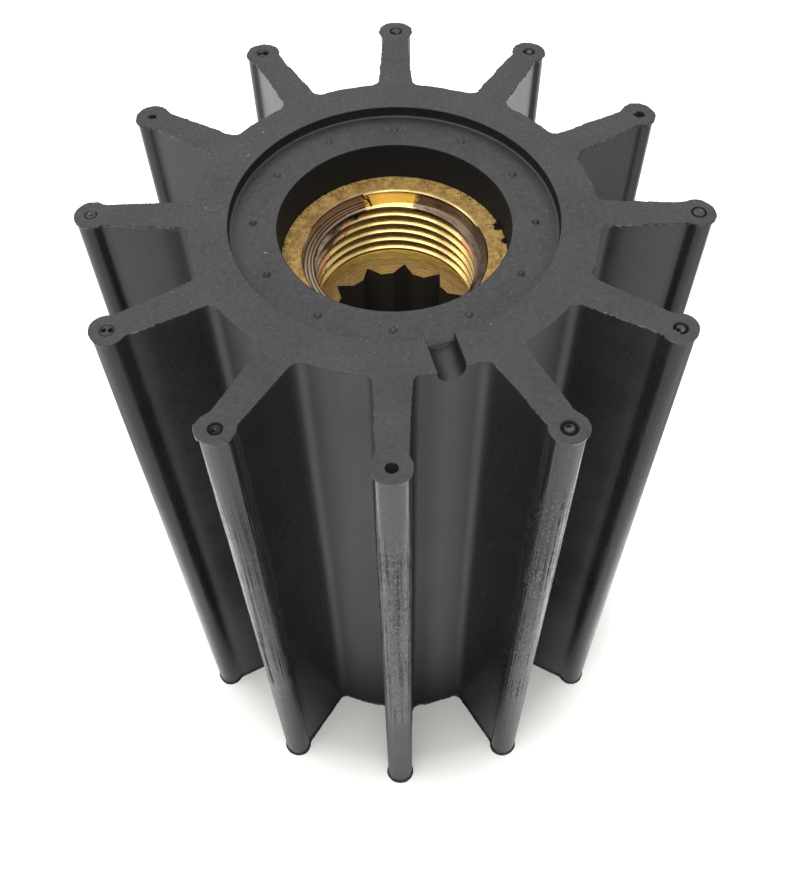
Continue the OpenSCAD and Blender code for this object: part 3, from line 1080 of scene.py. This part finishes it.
def tarnish_colour(n, at, past):
    """Streaks of mauve and brown, with copper showing near the edge of the tarnish."""
    on_right = n.math("GREATER_THAN", at.angle, 0)
    mauve = n.blend(on_right, (0.46, 0.335, 0.225, 1), (0.46, 0.35, 0.24, 1))
    brown = n.blend(on_right, (0.25, 0.17, 0.11, 1), (0.28, 0.215, 0.14, 1))
    brown = n.blend(at.thread, brown, thread_brown)
    colour = n.blend(n.spread(at.streaks, 0.34, 0.5), brown, mauve)
    coppery = n.times(n.spread(past, 26, 18), n.spread(at.streaks, 0.47, 0.50),
                      at.under(10.9, 11.3))
    colour = n.blend(coppery, colour, copper)
    # The ledge under the counterbore is dark on the right, and ringed on the left
    ledge = n.times(at.under(thread_deep - 0.1, thread_deep - 0.02),
                    at.above(thread_deep + 0.5, thread_deep + 0.9))
    colour = n.blend(n.times(ledge, n.spread(at.angle, -5, 5, 0, 0.7)), colour, ledge_brown)
    ring_pitch = 0.55 * mm
    ringed = n.math("SINE", n.times(at.radius, math.tau / ring_pitch))
    ringed = n.blend(n.spread(ringed, -0.4, 0.4), ledge_brown, ledge_ring)
    colour = n.blend(n.times(ledge, n.spread(at.angle, 5, -5, 0, 0.8)), colour, ringed)
    return n.blend(n.times(at.off_face, at.bevel), colour, bevel_brown)


def dent_and_smears(n, at, colour):
    """Painted shade of a dent in the back of the counterbore, and two smears of rubber on the right
    of the face.
    """
    bow = n.spread(at.deep, top_deep + 0.1, thread_deep)
    bow = n.minus(n.times(bow, bow, 4.5), 22)
    # Painted shade of the dent, along a bow
    dent = n.times(at.off_face, at.above(thread_deep, thread_deep + 0.1),
                   n.math("COMPARE", at.angle, bow, 0.9))
    colour = n.blend(n.times(dent, 0.9), colour, painted_dent_shade)
    ragged = n.times(n.minus(at.blots, 0.5), 2.2 * mm)
    for x, y, size in ((16.15, 5.9, 0.9), (17.1, 2.5, 0.65)):
        feeds = {0: at.plan, 1: (x * mm, y * mm, 0)}
        off = n.add("ShaderNodeVectorMath", feeds, operation="DISTANCE").outputs["Value"]
        smear = n.spread(n.plus(off, ragged), size * mm, (size - 0.15) * mm)
        colour = n.blend(n.times(at.face, smear), colour, smear_black)
    return colour


def turned_brass():
    """Yellow brass: bright from wear on the thread, tarnished in the counterbore and on its left.
    """
    material, n, shader, where = finish_nodes("turned_brass")
    at = BrassPlace(n, where)
    colour = n.blend(at.face, clean_brass(n, at), aged_face(n, at))
    tarnish, past = tarnish_share(n, at)
    colour = n.blend(tarnish, colour, tarnish_colour(n, at, past))
    colour = dent_and_smears(n, at, colour)
    # Painted shade deep in the broached bore
    colour = n.blend(at.bore, colour, painted_bore_shade)

    dull = n.plus(n.times(at.face, 0.6), n.times(at.thread, 0.16), n.times(at.shoulder, 0.35))
    dull = n.times(dull, n.rest(n.times(tarnish, 0.7)))
    dull = n.most(dull, n.times(at.bore, 0.9))
    rough = n.plus(n.spread(at.blots, 0.3, 0.7, 0.16, 0.26), n.times(at.face, 0.27))
    rough = n.plus(rough, n.most(n.times(at.shoulder, 0.18), n.times(tarnish, 0.08)))
    relief = n.plus(at.rings, n.times(at.face, at.blots, 1.5))
    n.feed(shader, {"Base Color": colour, "Metallic": n.rest(dull), "Roughness": rough,
                    "Normal": n.bump(relief, 0.012 * mm)})
    return material


# Stage: camera at the photograph's angle, white floor and soft light

def place_camera():
    """The camera as fitted to the photograph's frame of 800 x 879."""
    data = bpy.data.cameras.new("camera")
    data.lens = 43.133
    data.sensor_width = 36
    camera = mesh_object("camera", data)
    eye = Vector((2.240, -116.211, 228.686)) * mm
    aim = Vector((0.346, 0, 61.459)) * mm
    roll = math.radians(-0.913)
    turn = (aim - eye).to_track_quat("-Z", "Y") @ Quaternion((0, 0, 1), roll)
    camera.location = eye
    camera.rotation_euler = turn.to_euler()
    data.clip_start = 1 * mm
    data.clip_end = 20
    bpy.context.scene.camera = camera


def mirrored_glow(n, x, y, away, lit):
    """Glow of the floor as the rubber mirrors it: close beside the object, in front of it, on the
    far left and far behind."""
    sideways = n.math("DIVIDE", n.math("ABSOLUTE", x), away)
    beside = n.plus(n.spread(sideways, 0.2, 0.6, 0, 0.3), n.spread(sideways, 0.75, 0.92, 0, 0.7))
    beside = n.times(beside, lit, n.spread(away, 105 * mm, 85 * mm))
    ahead = n.times(n.spread(y, -10 * mm, -30 * mm), n.spread(away, 90 * mm, 140 * mm, 0, 0.4))
    far_left = n.spread(x, -110 * mm, -135 * mm, 0, 0.6)
    behind = n.most(n.spread(y, 40 * mm, 90 * mm, 0, 0.9), far_left)
    behind = n.times(behind, n.spread(away, 120 * mm, 150 * mm))
    return n.most(beside, ahead, behind)


def white_paper():
    """White to the eye, apart from the object's shadow. Mirrored, it is dim under the object and
    far out at its sides."""
    shade = (0.17, 0.17, 0.17, 1)
    white = (0.9, 0.9, 0.9, 1)
    seen_white = (0.95, 0.925, 0.885, 1)
    material, n, shader, where = finish_nodes("white_paper")
    ray = n.add("ShaderNodeLightPath").outputs
    mirrored = n.most(ray["Is Glossy Ray"], ray["Is Transmission Ray"])
    x, y, _ = n.split(where)
    away = n.length(where)
    lit = n.spread(away, 34 * mm, 58 * mm)
    shaded = n.times(mirrored, n.spread(y, -35 * mm, -10 * mm, 0, 0.5),
                     n.spread(away, 80 * mm, 100 * mm))
    paper = n.blend(n.times(lit, n.rest(shaded)), shade, white)
    paper = n.blend(ray["Is Camera Ray"], paper, seen_white)
    n.feed(shader, {"Base Color": paper, "Roughness": 0.8, "Specular IOR Level": 0.0})
    seen = n.times(ray["Is Camera Ray"], n.spread(away, 41 * mm, 57 * mm, 0.07, 0.6))
    seen = n.most(seen, n.times(mirrored, mirrored_glow(n, x, y, away, lit)))
    glow = n.add("ShaderNodeEmission", {"Color": (1, 1, 1, 1), "Strength": seen}).outputs[0]
    whole = n.add("ShaderNodeAddShader", {0: shader.outputs[0], 1: glow}).outputs[0]
    n.feed(material.node_tree.nodes["Material Output"], {0: whole})
    return material


def lay_floor():
    size = 3.0
    shape = bmesh.new()
    corners = ((-1, -1), (1, -1), (1, 1), (-1, 1))
    shape.faces.new([shape.verts.new((x * size, y * size, 0)) for x, y in corners])
    floor = mesh_object("floor", finished_mesh("floor", shape))
    floor.location.z = -0.02 * mm
    floor.data.materials.append(white_paper())


def softbox(name, place, width, height, radiance):
    """A rectangular lamp that faces the middle of the upper end."""
    lamp = bpy.data.lights.new(name, "AREA")
    lamp.shape = "RECTANGLE"
    lamp.size = width
    lamp.size_y = height
    lamp.energy = radiance * math.pi * width * height
    box = mesh_object(name, lamp)
    box.location = place
    way = Vector((0, 0, body_len)) - Vector(place)
    box.rotation_euler = way.to_track_quat("-Z", "Y").to_euler()


def light_studio():
    scene = bpy.context.scene
    scene.world = bpy.data.worlds.new("studio")
    scene.world.use_nodes = True
    n = Nodes(scene.world.node_tree)
    # The sky is white to the eye, and a little dimmer as light
    seen = n.add("ShaderNodeLightPath").outputs["Is Camera Ray"]
    n.feed(scene.world.node_tree.nodes["Background"],
           {"Color": (1, 1, 1, 1), "Strength": n.spread(seen, 0, 1, 0.8, 1.0)})
    softbox("ceiling_softbox", (-0.1, -0.35, 1.0), 0.83, 0.6, 2.2)
    softbox("left_softbox", (-0.8, 0.05, 0.85), 0.6, 0.6, 1.3)


bpy.context.scene.view_settings.view_transform = "Standard"
place_camera()
light_studio()
lay_floor()

body = rubber_body(moulded_rubber("rubber_wall", 0.021, 0.27, 0.5, streak=2.0),
                   moulded_rubber("rubber_end_face", 0.051, 0.5, 0.5, dust=0.75),
                   # Darker than the rest: painted shade in the bore and on the recess wall
                   moulded_rubber("rubber_bore", 0.011, 0.75, 0.2))
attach(body, "root")
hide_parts("rubber_body")

insert = brass_insert(turned_brass())
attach(insert, "root")
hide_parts("brass_insert")
